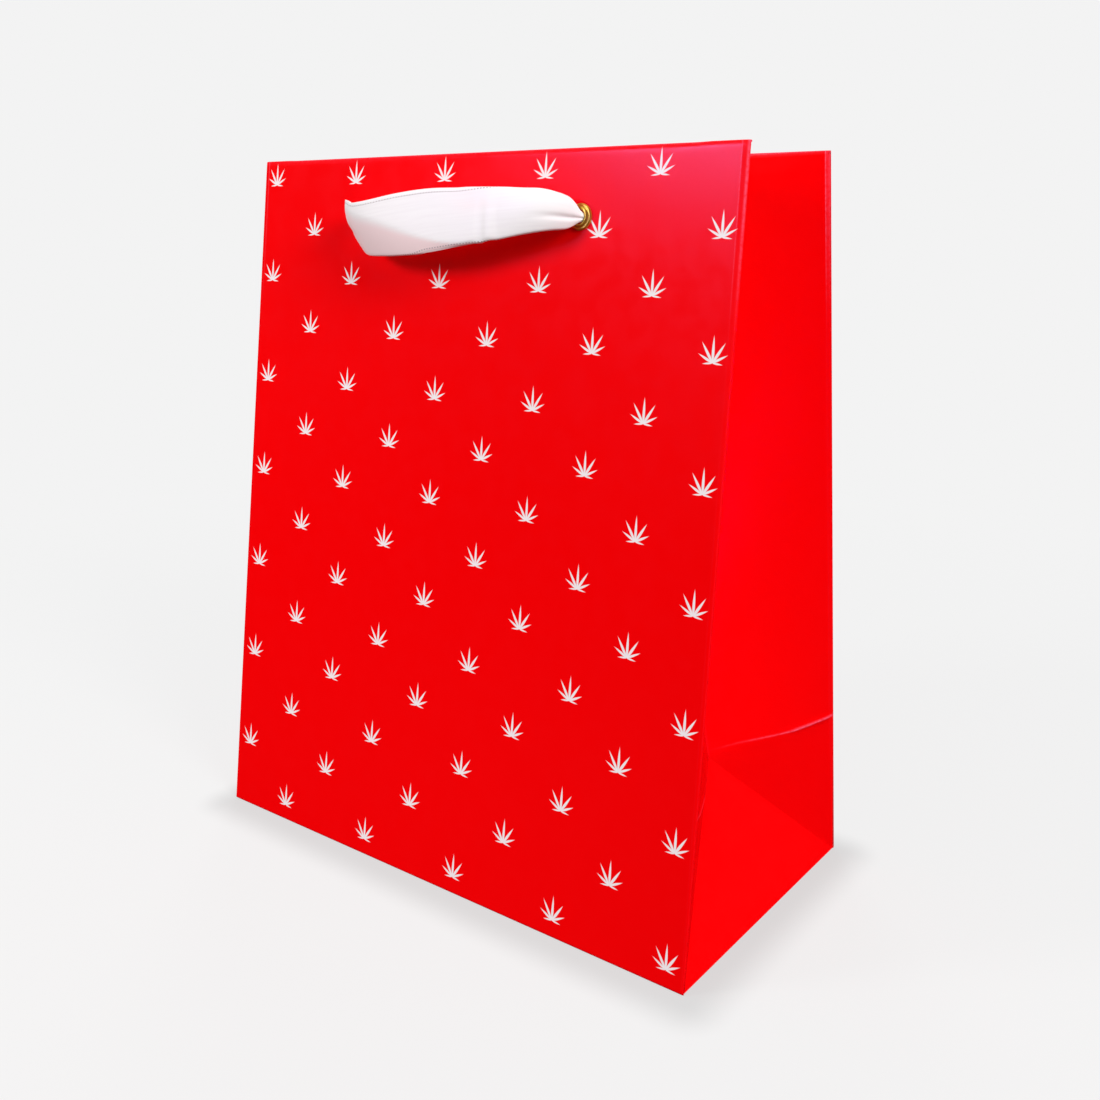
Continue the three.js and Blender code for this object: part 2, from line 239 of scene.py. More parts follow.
class Nodes:
    """A material's node tree, with short calls for the maths that patterns need."""

    def __init__(self, name):
        self.material = bpy.data.materials.new(name)
        self.material.use_nodes = True
        self.tree = self.material.node_tree
        self.shader = self.tree.nodes["Principled BSDF"]

    def node(self, kind, **settings):
        made = self.tree.nodes.new("ShaderNode" + kind)
        for key, value in settings.items():
            setattr(made, key, value)
        return made

    def put(self, socket, value):
        if isinstance(value, bpy.types.NodeSocket):
            self.tree.links.new(value, socket)
        else:
            socket.default_value = value

    def math(self, operation, a, b=0.0):
        made = self.node("Math", operation=operation)
        for socket, value in zip(made.inputs, (a, b)):
            self.put(socket, value)
        return made.outputs[0]

    def add(self, a, b):
        return self.math("ADD", a, b)

    def sub(self, a, b):
        return self.math("SUBTRACT", a, b)

    def mul(self, a, b):
        return self.math("MULTIPLY", a, b)

    def ramp(self, value, low, high, out_low=0.0, out_high=1.0):
        made = self.node("MapRange", interpolation_type="SMOOTHSTEP")
        for socket, number in zip(made.inputs[:5], (value, low, high, out_low, out_high)):
            self.put(socket, number)
        return made.outputs[0]

    def mix(self, factor, a, b):
        made = self.node("Mix", data_type="RGBA")
        colours = [s for s in made.inputs if s.type == "RGBA"]
        self.put(made.inputs[0], factor)
        self.put(colours[0], a)
        self.put(colours[1], b)
        return [s for s in made.outputs if s.type == "RGBA"][0]

    def noise(self, scale, detail=2.0, roughness=0.5, vector=None):
        made = self.node("TexNoise")
        made.inputs["Scale"].default_value = scale
        made.inputs["Detail"].default_value = detail
        made.inputs["Roughness"].default_value = roughness
        self.put(made.inputs["Vector"], vector or self.place())
        return made.outputs["Fac"]

    def place(self):
        return self.node("TexCoord").outputs["Object"]

    def sheet_uv(self):
        split = self.node("SeparateXYZ")
        self.put(split.inputs[0], self.node("UVMap", uv_map="sheet").outputs[0])
        return split.outputs[0], split.outputs[1]

    def attribute(self, name):
        return self.node("Attribute", attribute_name=name).outputs["Fac"]

    def bump(self, height, strength, distance):
        made = self.node("Bump")
        made.inputs["Strength"].default_value = strength
        made.inputs["Distance"].default_value = distance
        self.put(made.inputs["Height"], height)
        self.put(self.shader.inputs["Normal"], made.outputs[0])

    def set(self, **values):
        for name, value in values.items():
            self.put(self.shader.inputs[name.replace("_", " ")], value)


def leaf_mask(n, x, y):
    """1 on a small seven-pointed leaf whose leaflets meet at the origin. x and y are in leaf sizes."""
    side = n.math("ABSOLUTE", x)
    mask = None
    for degrees, length, half_width in LEAFLETS:
        turn = math.radians(degrees)
        along = n.add(n.mul(y, math.cos(turn) / length), n.mul(side, math.sin(turn) / length))
        across = n.sub(n.mul(side, math.cos(turn)), n.mul(y, math.sin(turn)))
        swell = n.mul(n.math("POWER", n.math("MAXIMUM", along, 0.0), 0.62), n.sub(1.0, along))
        edge = n.sub(n.mul(swell, half_width * 2.05), n.math("ABSOLUTE", across))
        leaflet = n.mul(n.ramp(edge, -0.012, 0.012), n.math("GREATER_THAN", along, 0.0))
        mask = leaflet if mask is None else n.math("MAXIMUM", mask, leaflet)
    return mask


def print_mask(n):
    """The scattered leaves in the sheet's own real-size coordinates."""
    u, v = n.sheet_uv()
    dropped = n.add(v, n.mul(n.math("LESS_THAN", v, PRINT_JOIN), PRINT_JOIN_DROP))
    from_top = n.sub(LEAF_TOP_ROW + LEAF_ODD_DROP / 2, dropped)
    in_pair = n.math("FLOORED_MODULO", from_top, LEAF_PITCH_Y)
    odd = n.math("GREATER_THAN", in_pair, LEAF_ODD_DROP)
    down = n.sub(n.sub(in_pair, LEAF_ODD_DROP / 2), n.mul(odd, LEAF_ODD_DROP))
    shifted = n.sub(n.sub(u, LEAF_EVEN_X - LEAF_PITCH_X / 2), n.mul(odd, LEAF_ODD_SHIFT))
    across = n.sub(n.math("FLOORED_MODULO", shifted, LEAF_PITCH_X), LEAF_PITCH_X / 2)
    rise = n.sub(0.26, n.mul(down, 1 / LEAF_SIZE))
    return leaf_mask(n, n.mul(across, 1 / LEAF_SIZE), rise)


def red_paper(name, printed):
    """Laminated red sheet: faint mottle of the ink, a fine film grain, pale folds of cracked ink with a
    painted highlight.
    """
    n = Nodes(name)
    mottle = n.ramp(n.noise(38, 4), 0.3, 0.7)
    colour = n.mix(n.mul(mottle, 0.04), RED, RED_DEEP)
    if printed:
        colour = n.mix(print_mask(n), colour, INK_WHITE)
    pale_line_noise = n.ramp(n.noise(900, 3), 0.30, 0.62, 0.45, 1.0)
    # the crease weight paints the pale fold lines: cracked ink, and a painted highlight along each fold
    crease = n.mul(n.attribute("crease"), pale_line_noise)
    colour = n.mix(crease, colour, FOLD_CRACK_AND_HIGHLIGHT)
    n.set(Base_Color=colour, Specular_IOR_Level=0.12)
    n.set(Roughness=n.ramp(n.noise(160, 3), 0.3, 0.7, 0.20, 0.26))
    n.bump(n.noise(420, 2), 0.15, 0.00006)
    return n.material


def white_paper():
    """The unprinted back of the sheet, with short fibres."""
    n = Nodes("white_paper")
    fibres = n.ramp(n.noise(1400, 4, 0.7), 0.35, 0.7)
    n.set(Base_Color=n.mix(fibres, (0.86, 0.85, 0.83, 1), (0.80, 0.79, 0.76, 1)), Specular_IOR_Level=0.3)
    n.set(Roughness=n.ramp(n.noise(300, 2), 0.3, 0.7, 0.62, 0.74))
    n.bump(n.noise(1200, 4, 0.7), 0.25, 0.00015)
    return n.material


def grey_card():
    """Recycled board: grey pulp with darker and lighter flecks."""
    n = Nodes("grey_card")
    pulp = n.mix(n.ramp(n.noise(260, 5, 0.7), 0.3, 0.7), (0.42, 0.39, 0.34, 1), (0.54, 0.50, 0.44, 1))
    flecks = n.ramp(n.noise(1900, 2), 0.66, 0.74)
    n.set(Base_Color=n.mix(flecks, pulp, (0.17, 0.15, 0.13, 1)), Specular_IOR_Level=0.2)
    n.set(Roughness=n.ramp(n.noise(500, 2), 0.3, 0.7, 0.85, 0.95))
    n.bump(n.noise(900, 5, 0.75), 0.5, 0.0002)
    return n.material


def brass():
    """Pressed brass, duller in places."""
    n = Nodes("brass")
    dull = n.ramp(n.noise(700, 3), 0.35, 0.7)
    n.set(Base_Color=n.mix(dull, (0.92, 0.72, 0.09, 1), (0.86, 0.65, 0.08, 1)), Metallic=0.9)
    n.set(Roughness=n.ramp(n.noise(1500, 2), 0.3, 0.7, 0.29, 0.33))
    return n.material


def satin():
    """Satin ribbon: lengthwise floats over fine weft, with a picked line inside each selvedge."""
    n = Nodes("satin")
    u, v = n.sheet_uv()
    floats = n.math("SINE", n.mul(v, 2 * math.pi / FLOAT_PERIOD))
    weft = n.math("SINE", n.mul(u, 2 * math.pi / WEFT_PERIOD))
    weave = n.add(n.mul(floats, 0.6), n.mul(n.mul(floats, weft), 0.4))
    streak_at = n.node("CombineXYZ")
    n.put(streak_at.inputs[0], n.mul(u, 40.0))
    n.put(streak_at.inputs[1], n.mul(v, 1100.0))
    streaks = n.noise(1.0, 3, 0.6, streak_at.outputs[0])
    edge_in = n.sub(RIBBON_WIDTH / 2, n.math("ABSOLUTE", v))
    off_line = n.math("ABSOLUTE", n.sub(edge_in, PICK_INSET))
    line = n.sub(1.0, n.ramp(off_line, 0.12 * MM, 0.28 * MM))
    dots = n.ramp(n.math("SINE", n.mul(u, 2 * math.pi / PICK_PERIOD)), -0.1, 0.5)
    picks = n.mul(line, dots)
    cord = n.sub(1.0, n.ramp(edge_in, 0.35 * MM, 0.75 * MM))
    cloth = n.mix(n.ramp(streaks, 0.3, 0.7), (0.95, 0.903, 0.913, 1), (0.92, 0.868, 0.882, 1))
    # painted pinkish shade on the turned-down left part of the ribbon and near its top edge
    cloth = n.mix(n.attribute("crease"), cloth, (0.98, 0.74, 0.755, 1))
    n.set(Base_Color=n.mix(n.mul(picks, 0.9), cloth, (0.40, 0.30, 0.32, 1)))
    n.set(Specular_IOR_Level=0.30, Sheen_Weight=0.20, Sheen_Roughness=0.4)
    n.set(Roughness=n.ramp(streaks, 0.3, 0.7, 0.34, 0.46))
    relief = n.sub(n.add(n.mul(weave, 0.10), cord), n.mul(picks, 0.8))
    n.bump(relief, 0.55, 0.00016)
    return n.material


def floor_paint():
    """Pale studio floor that turns into the even backdrop away from the bag."""
    n = Nodes("studio_floor")
    n.set(Base_Color=(FLOOR_ALBEDO, FLOOR_ALBEDO, FLOOR_ALBEDO, 1), Specular_IOR_Level=0.0, Roughness=1.0)
    glow = n.node("Emission")
    glow.inputs["Color"].default_value = (1, 1, 1, 1)
    split = n.node("SeparateXYZ")
    n.put(split.inputs[0], n.place())
    beyond = n.node("CombineXYZ")
    for axis, half, shift in ((0, HALF_W, FOOT_SHADE_SHIFT), (1, HALF_D, -FOOT_SHADE_SHIFT)):
        past = n.sub(n.math("ABSOLUTE", n.sub(split.outputs[axis], shift)), half)
        n.put(beyond.inputs[axis], n.math("MAXIMUM", past, 0.0))
    gap = n.node("VectorMath", operation="LENGTH")
    n.put(gap.inputs[0], beyond.outputs[0])
    shade = n.ramp(gap.outputs["Value"], 0.0, FOOT_SHADE_REACH, 1 - FOOT_SHADE, 1.0)
    seen = n.mul(n.node("LightPath").outputs["Is Camera Ray"], BACKDROP)
    n.put(glow.inputs["Strength"], n.mul(seen, shade))
    far = n.node("VectorMath", operation="LENGTH")
    n.put(far.inputs[0], n.place())
    blend = n.node("MixShader")
    n.put(blend.inputs[0], n.ramp(far.outputs["Value"], 0.22, 0.60, FLOOR_GLOW, 1.0))
    n.put(blend.inputs[1], n.shader.outputs[0])
    n.put(blend.inputs[2], glow.outputs[0])
    n.put(n.tree.nodes["Material Output"].inputs["Surface"], blend.outputs[0])
    n.material.cycles.emission_sampling = "NONE"
    return n.material


MAT = {
    "printed": red_paper("printed_red_paper", True),
    "plain": red_paper("plain_red_paper", False),
    "white": white_paper(),
    "card": grey_card(),
    "brass": brass(),
    "satin": satin(),
}


# ---- Mesh helpers -------------------------------------------------------------------------------


def new_object(name, verts, faces, materials, face_materials=None, uvs=None, cracks_and_painted_light=None, sharp=()):
    mesh = bpy.data.meshes.new(name)
    mesh.from_pydata([tuple(v) for v in verts], [], faces)
    for material in materials:
        mesh.materials.append(MAT[material])
    if face_materials:
        mesh.polygons.foreach_set("material_index", face_materials)
    if uvs:
        layer = mesh.uv_layers.new(name="sheet")
        for loop in mesh.loops:
            layer.data[loop.index].uv = uvs[loop.vertex_index]
    # the crease attribute carries painted light: pale fold lines of cracked ink and painted highlight on the
    # paper, painted shade on the ribbon
    if cracks_and_painted_light:
        attribute = mesh.attributes.new("crease", "FLOAT", "POINT")
        attribute.data.foreach_set("value", cracks_and_painted_light)
    mesh.polygons.foreach_set("use_smooth", [True] * len(mesh.polygons))
    wanted = {tuple(sorted(pair)) for pair in sharp}
    for edge in mesh.edges:
        if tuple(sorted(edge.vertices)) in wanted:
            edge.use_edge_sharp = True
    mesh.validate()
    made = bpy.data.objects.new(name, mesh)
    bpy.context.scene.collection.objects.link(made)
    return made


def sheet_from_rows(name, rows, materials, flip=False):
    """A closed thin sheet. Each cell is (outer point, inner point, place on the flat sheet, weight)."""
    columns = len(rows[0])
    size = len(rows) * columns
    cells = [cell for row in rows for cell in row]
    faces, kinds, sharp = [], [], []

    def at(i, j, layer):
        return layer * size + i * columns + j

    def quad(corners, kind):
        faces.append(corners[::-1] if flip else corners)
        kinds.append(kind)

    for i in range(len(rows) - 1):
        for j in range(columns - 1):
            corners = [(i, j), (i, j + 1), (i + 1, j + 1), (i + 1, j)]
            quad([at(*c, 0) for c in corners], 0)
            quad([at(*c, 1) for c in corners[::-1]], 1)
    end = len(rows) - 1
    ring = [(0, j) for j in range(columns)]
    ring += [(i, columns - 1) for i in range(1, len(rows))]
    ring += [(end, j) for j in range(columns - 2, -1, -1)]
    ring += [(i, 0) for i in range(end - 1, 0, -1)]
    for a, b in zip(ring, ring[1:] + ring[:1]):
        cut_edge = a[0] == b[0] == end
        quad([at(*b, 0), at(*a, 0), at(*a, 1), at(*b, 1)], 1 if cut_edge else 0)
        sharp += [(at(*a, 0), at(*b, 0)), (at(*a, 1), at(*b, 1))]
    verts = [cell[0] for cell in cells] + [cell[1] for cell in cells]
    uvs = [cell[2] for cell in cells] * 2
    cracks_and_painted_light = [cell[3] for cell in cells] * 2
    made = new_object(name, verts, faces, materials, kinds, uvs, cracks_and_painted_light, sharp)
    return made


def lathe(profile, steps):
    """Points and faces of a closed ring section turned about the local Y axis."""
    verts, faces = [], []
    count = len(profile)
    for i in range(steps):
        turn = 2 * math.pi * i / steps
        verts += [Vector((r * math.cos(turn), y, r * math.sin(turn))) for r, y in profile]
    for i in range(steps):
        for j in range(count):
            a, b = i * count + j, i * count + (j + 1) % count
            c, d = ((i + 1) % steps) * count + (j + 1) % count, ((i + 1) % steps) * count + j
            faces.append([a, b, c, d])
    return verts, faces


def wall_matrix(wall):
    lean = Matrix.Translation((0, -HALF_D, 0)) @ Matrix.Rotation(-LEAN, 4, "X")
    return Matrix.Rotation(WALL_TURNS[wall], 4, "Z") @ lean


def corner_name(wall, side):
    """side is +1 at a wall's own +X edge; the back wall is turned, so its +X edge is the bag's left."""
    return wall + ("_right" if side * math.cos(WALL_TURNS[wall]) > 0 else "_left")


def spread(low, high, count):
    return [low + (high - low) * i / count for i in range(count + 1)]


def smooth(value):
    value = max(0.0, min(1.0, value))
    return value * value * (3 - 2 * value)


# ---- Walls --------------------------------------------------------------------------------------


def strip_width(s):
    return FOLD_STRIP * (0.30 + 0.70 * s / WALL)


def hem_depth(x):
    over_card = 1 - smooth((abs(x) - (HEM_HALF_W - 2 * MM)) / (3 * MM))
    return HEM_DEPTH_BARE + (HEM_DEPTH - HEM_DEPTH_BARE) * over_card


def pale_line_share(s):
    """The corner folds are handled towards the top, and their pale line of cracked ink and painted highlight
    shows there.
    """
    return 0.03 + 0.72 * smooth((s - 0.76 * WALL) / (0.22 * WALL))


def nose(s):
    """Radius of the corner fold, which is sharper low down."""
    return NOSE * (0.3 + 0.7 * smooth(s / WALL))


def wall_surface(x, s):
    """Depth of the wall's outer face behind its flat plane."""
    free = max(0.0, min(1.0, s / (WALL - HEM - 4 * MM)))
    loose = math.sin(math.pi * free) * math.cos(math.pi * x / (2 * HALF_W))
    bow = WALL_BOW * loose
    ripple = WALL_RIPPLE * noise.noise(Vector((x * 14, s * 11, 3.7))) * loose
    edge = max(0.0, abs(x) - (HALF_W - strip_width(s)))
    turned = edge * STRIP_TILT
    radius = nose(s)
    corner = max(0.0, abs(x) - (HALF_W - radius)) / radius
    rounded = radius * (1 - math.sqrt(max(0.0, 1 - min(1.0, corner) ** 2)))
    return max(0.0, bow + ripple) + turned + rounded


def wall_columns(s):
    """Columns of a wall from its middle to its corner fold, with the crease weight of each."""
    strip = strip_width(s)
    inner = HALF_W - strip - 0.9 * MM
    half = [(x, 0.0) for x in spread(0, inner, 22)]
    line = HALF_W - strip
    half += [(line - 0.3 * MM, 0.0), (line, 0.55), (line + 0.3 * MM, 0.0)]
    rounding = ((1.6, 0.0), (1.0, 0.35), (0.5, 0.8), (0.12, 0.8), (0.0, 0.4))
    half += [(HALF_W - nose(s) * k, w) for k, w in rounding]
    return [(-x, w) for x, w in half[:0:-1]] + half


def wall_row(s):
    """One row of a wall's cells at height s."""
    lift = NOSE * (1 - math.sqrt(max(0.0, 1 - max(0.0, 1 - s / NOSE) ** 2)))
    # a faint pale line at the foot and along the folds: cracked ink with a painted highlight
    pale_foot = 0.12 if s < 0.5 * MM else 0.0
    row = []
    for x, weight in wall_columns(s):
        y = wall_surface(x, s) + lift
        pale_line = max(weight * pale_line_share(s), pale_foot)
        row.append((Vector((x, y, s)), Vector((x, y + PAPER, s)), (x, s), pale_line))
    return row


def wall_turn(degrees):
    """One row on the rounded top, where the wall's paper turns in."""
    angle = math.radians(degrees)
    out = Vector((0, -math.cos(angle), math.sin(angle)))
    row = []
    for x, weight in wall_columns(WALL):
        top = hem_depth(x) / 2
        centre = Vector((x, wall_surface(x, WALL) + top, WALL - top))
        row.append((
            centre + out * top,
            centre + out * max(0.05 * MM, top - PAPER),
            (x, WALL - top + top * angle),
            # the rounded top carries a pale line: cracked ink with a painted highlight along the rim
            max(weight, 0.55 * math.sin(angle) ** 2),
        ))
    return row


def wall_hem_row(down):
    """One row of the turned-in hem, which is a little narrower than the wall."""
    narrow = 1 - 0.045 * smooth(down / (6 * MM))
    row = []
    for x, _ in wall_columns(WALL):
        x_in = x * narrow
        y = wall_surface(x, WALL - down) * 0.5 + hem_depth(x)
        row.append((
            Vector((x_in, y, WALL - down)),
            Vector((x_in, y - PAPER, WALL - down)),
            (x_in, WALL + down),
            0.0,
        ))
    return row


def wall_sheet(wall):
    """A wall and its turned-in top in one piece of paper."""
    foot = [0.02 * MM, 0.25 * MM, 0.6 * MM, 1.2 * MM]
    rows = [wall_row(s) for s in foot + spread(4 * MM, WALL - 3 * MM, 44) + [WALL - 2 * MM]]
    rows += [wall_turn(degrees) for degrees in (20, 45, 70, 90, 110, 135, 160)]
    rows += [wall_hem_row(down) for down in (1.4 * MM, 3 * MM, 6 * MM, 12 * MM, 20 * MM, HEM - 1 * MM, HEM)]
    made = sheet_from_rows(wall + "_wall_sheet", rows, ["printed", "white"])
    made.data.transform(wall_matrix(wall))
    cut_eyelet_holes(made, wall)
    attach(made, wall + "_wall")
    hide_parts(wall + "_panel", wall + "_hem")


def cut_eyelet_holes(sheet, wall):
    """Punches the two holes through the wall sheet and its hem with boolean cutters, applied to the mesh."""
    for side in (-1, 1):
        verts, faces = [], []
        for y in (-6 * MM, 8 * MM):
            for i in range(HOLE_STEPS):
                turn = 2 * math.pi * i / HOLE_STEPS
                verts.append(Vector((
                    side * EYELET_X + HOLE_R * math.cos(turn), y, EYELET_S + HOLE_R * math.sin(turn)
                )))
        wrap = [(i, (i + 1) % HOLE_STEPS) for i in range(HOLE_STEPS)]
        faces = [[i, k, HOLE_STEPS + k, HOLE_STEPS + i] for i, k in wrap]
        faces += [list(range(HOLE_STEPS))[::-1], list(range(HOLE_STEPS, 2 * HOLE_STEPS))]
        cutter = new_object("cutter", verts, faces, ["white"])
        cutter.data.transform(wall_matrix(wall))
        cut = sheet.modifiers.new("hole", "BOOLEAN")
        cut.operation = "DIFFERENCE"
        cut.solver = "EXACT"
        cut.object = cutter
        bpy.context.view_layer.update()
        with bpy.context.temp_override(object=sheet, active_object=sheet):
            bpy.ops.object.modifier_apply(modifier=cut.name)
        bpy.data.objects.remove(cutter)


# ---- Gussets ------------------------------------------------------------------------------------


def fold_angle(s):
    to_middle = (HALF_D - s * math.sin(LEAN)) / math.cos(LEAN) - PIVOT_DEPTH
    return math.acos(min(1.0, to_middle / GUSSET_REACH))


def fold_share(s, reach):
    """1 on the level fold, falling to 0 at the diagonal fold below it and over a few centimetres above."""
    if s >= HALF_D:
        return math.exp(-(s - HALF_D) / FOLD_FADE)
    foot = min(reach * HALF_D / GUSSET_REACH, HALF_D - 0.01 * MM)
    return max(0.0, (s - foot) / (HALF_D - foot))


def gusset_ridge(s, reach):
    """The level fold stands a little proud, with a sharper lip on its outer part, and the paper ripples."""
    ridge = FOLD_STAND * fold_share(s, reach) * smooth(reach / (4 * MM))
    lip = FOLD_LIP * math.exp(-((s - HALF_D) / (0.6 * MM)) ** 2)
    lip *= smooth((FOLD_LIP_END - reach) / (1.5 * MM))
    ripple = GUSSET_RIPPLE * noise.noise(Vector((reach * 22, s * 13, 9.1))) * smooth((s - HALF_D) / (30 * MM))
    ends = math.sin(math.pi * max(0.0, min(1.0, reach / GUSSET_REACH)))
    return (ridge + ripple) * ends + lip * smooth(reach / (2.5 * MM))


def gusset_point(side, s, reach, out):
    """A point of a gusset half in its wall's frame. reach runs from the corner fold to the centre crease."""
    bend = max(0.0, 1 - abs(reach - FOLD_LIP_END) / FOLD_LIP_END)
    s += (FOLD_RISE * smooth(reach / GUSSET_REACH) - FOLD_DIP * bend) * fold_share(s, reach)
    angle = fold_angle(max(s, HALF_D))
    x = HALF_W - PIVOT_SIDE - reach * math.sin(angle) + out * math.cos(angle)
    y = PIVOT_DEPTH + reach * math.cos(angle) + out * math.sin(angle)
    return Vector((side * x, y, s))


def gusset_end(s, out):
    """Where a gusset half's face meets the middle plane or, below the level fold, the diagonal fold."""
    if s < HALF_D:
        return min(s * GUSSET_REACH / HALF_D + TUCK, GUSSET_REACH)
    return GUSSET_REACH - out * math.tan(fold_angle(s))


def gusset_lap(side, s, past, out):
    """A point of the strip that runs straight across the middle plane, just behind the centre crease."""
    edge = gusset_point(side, s, gusset_end(s, out), out)
    return edge + Vector((-side * min(past, LAP_SETBACK), past * math.cos(LEAN), past * math.sin(LEAN)))


def gusset_columns(end):
    """Distances from the corner fold, closer together at both ends, with a crease weight for each."""
    near = [(-0.25 * MM, 0.3), (0.0, 0.5), (0.5 * MM, 0.25)]
    near += [(1.1 * MM, 0.2), (1.35 * MM, 1.0), (1.6 * MM, 0.0)]
    far = [(0.9 * MM, 0.0), (0.45 * MM, 0.5), (0.0, 0.7)]
    middle = [(r, 0.0) for r in spread(2.6 * MM, 48 * MM, 22)]
    scale = min(1.0, end / GUSSET_REACH)
    columns = [(r * scale, w) for r, w in near]
    columns += [(max(0.0, r / (49 * MM) * (end - 1.2 * MM)), w) for r, w in middle]
    columns += [(max(0.0, end - d), w) for d, w in far]
    return columns


def gusset_row(side, s, pale_line_strength):
    """One row of cells (outer point, inner point, place on the sheet, crease weight) at height s."""
    row = []
    outer, inner = gusset_columns(gusset_end(s, PAPER)), gusset_columns(gusset_end(s, 0))
    for (r, weight), (r_in, _) in zip(outer, inner):
        ridge = gusset_ridge(s, r)
        broad = 0.36 * MM + 0.22 * MM * smooth((FOLD_LIP_END - r) / (6 * MM))
        # the level fold's pale line: cracked ink with a painted highlight, wider and stronger on its outer
        # part
        on_fold = pale_line_strength * max(0.0, 1 - abs(s - HALF_D) / broad)
        fade = smooth((GUSSET_REACH - r) / (34 * MM)) * (0.85 if r < FOLD_LIP_END else 0.55)
        row.append((
            gusset_point(side, s, r, PAPER + ridge),
            gusset_point(side, s, r_in, ridge),
            (r, s),
            max(weight * pale_line_share(s), on_fold * fade),
        ))
    return row


def lap_cells(side, s, out, out_in):
    """The cells that end a row, on the strip past the centre crease."""
    return [
        (
            gusset_lap(side, s, past, out),
            gusset_lap(side, s, past, out_in),
            (GUSSET_REACH + past, s),
            0.0,
        )
        for past in LAP_COLUMNS
    ]


def gusset_turn(side, degrees):
    """One row on the rounded top, where the gusset's paper turns in."""
    angle = math.radians(degrees)
    top = (PAPER + GUSSET_HEM_DEPTH) / 2
    out = PAPER - top + top * math.cos(angle)
    out_in = PAPER - top + 0.05 * MM * math.cos(angle)
    s = WALL - top + top * math.sin(angle)
    # the rounded top carries a pale line: cracked ink with a painted highlight along the rim
    row = [
        (
            gusset_point(side, s, r, out),
            gusset_point(side, WALL - top, r, out_in),
            (r, WALL - top + top * angle),
            max(weight, 0.5 * math.sin(angle) ** 2),
        )
        for r, weight in gusset_columns(gusset_end(WALL, PAPER))
    ]
    return row + lap_cells(side, WALL - top, PAPER, 0.0)


def gusset_hem_row(side, down):
    """One row of the turned-in hem, which is cut narrower than the gusset."""
    s = WALL - down
    keep = smooth(down / (4 * MM))
    start, end = 5 * MM * keep, gusset_end(s, 0) - 1.5 * MM * keep
    row = []
    ends = [GUSSET_REACH] * len(LAP_COLUMNS)
    for r in [column[0] for column in gusset_columns(GUSSET_REACH)] + ends:
        along = start + (end - start) * max(0.0, min(1.0, r / GUSSET_REACH))
        row.append((
            gusset_point(side, s, along, -GUSSET_HEM_DEPTH),
            gusset_point(side, s, along, -GUSSET_HEM_DEPTH + PAPER),
            (along, WALL + down),
            0.0,
        ))
    return row


def gusset_sheet(wall, side):
    """One quarter of the folded-in sides: a twisting upper half with its hem, and the triangle below it."""
    corner = corner_name(wall, side)
    heights = [HALF_D, HALF_D + 0.3 * MM, HALF_D + 0.7 * MM]
    heights += spread(HALF_D + 2.5 * MM, WALL - 1.2 * MM, 34)
    pale_line_strength = FRONT_PALE_LINE if wall == "front" else 1.0
    rows = [gusset_row(side, s, pale_line_strength) + lap_cells(side, s, PAPER, 0.0) for s in heights]
    rows += [gusset_turn(side, degrees) for degrees in (25, 55, 90, 125, 155)]
    rows += [gusset_hem_row(side, down) for down in (1.2 * MM, 4 * MM, 10 * MM, 20 * MM, HEM)]
    upper = sheet_from_rows("gusset_sheet_" + corner, rows, ["plain", "white"], side > 0)
    upper.data.transform(wall_matrix(wall))
    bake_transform(upper)
    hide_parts("gusset_" + corner, "gusset_hem_" + corner)

    heights = spread(0.3 * MM, HALF_D - 2 * MM, 12) + [HALF_D - 0.7 * MM, HALF_D - 0.3 * MM, HALF_D]
    rows = [gusset_row(side, s, pale_line_strength) for s in heights]
    lower = sheet_from_rows(
        "side_fold_sheet_" + corner, rows, ["plain", "white"], side > 0
    )
    lower.data.transform(wall_matrix(wall))
    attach(lower, joints[corner + "_triangle_fold"]["child"])
    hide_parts("side_triangle_" + corner)


def bottom_triangle(side):
    """The triangle that tips in at the foot of a side."""
    name = "right" if side > 0 else "left"
    angle = fold_angle(HALF_D)
    inset = GUSSET_REACH * math.sin(angle)
    inward = PIVOT_DEPTH + GUSSET_REACH * math.cos(angle)
    apex = HALF_D * math.cos(LEAN) - inward * math.sin(LEAN)
    tilt = math.atan2(inset, apex)
    slope = math.hypot(inset, apex)
    outward = Vector((side * math.cos(tilt), 0, math.sin(tilt)))
    foot = Vector((side * (HALF_W - PIVOT_SIDE), 0, 0))
    up_slope = Vector((-side * math.sin(tilt), 0, math.cos(tilt)))
    shares = [-1, -0.985, -0.96] + spread(-0.9, 0.9, 18) + [0.96, 0.985, 1]
    rows = []
    for up in [0.0, 0.3 * MM, 0.8 * MM] + spread(2 * MM, slope - 0.4 * MM, 20):
        half = (HALF_D - PIVOT_DEPTH) * (1 - up / slope) + 0.3 * MM
        # a faint pale line at the foot and along the diagonal edges: cracked ink with a painted highlight
        pale_foot = 0.12 if up < 0.2 * MM else 0.0
        row = []
        for share in shares:
            at = foot + up_slope * up + Vector((0, share * half, 0))
            hollow = 0.5 * MM * math.cos(math.pi * share / 2) * math.sin(math.pi * up / slope)
            row.append((
                at + outward * (PAPER * 0.9 - hollow),
                at - outward * (0.1 * PAPER + hollow),
                (share * half, up),
                max(0.10 if abs(share) == 1 else 0.0, pale_foot),
            ))
        rows.append(row)
    made = sheet_from_rows("foot_triangle_" + name, rows, ["plain", "white"], side < 0)
    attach(made, name + "_bottom_fold")
    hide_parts("bottom_triangle_" + name)


# ---- Eyelets and ribbon -------------------------------------------------------------------------


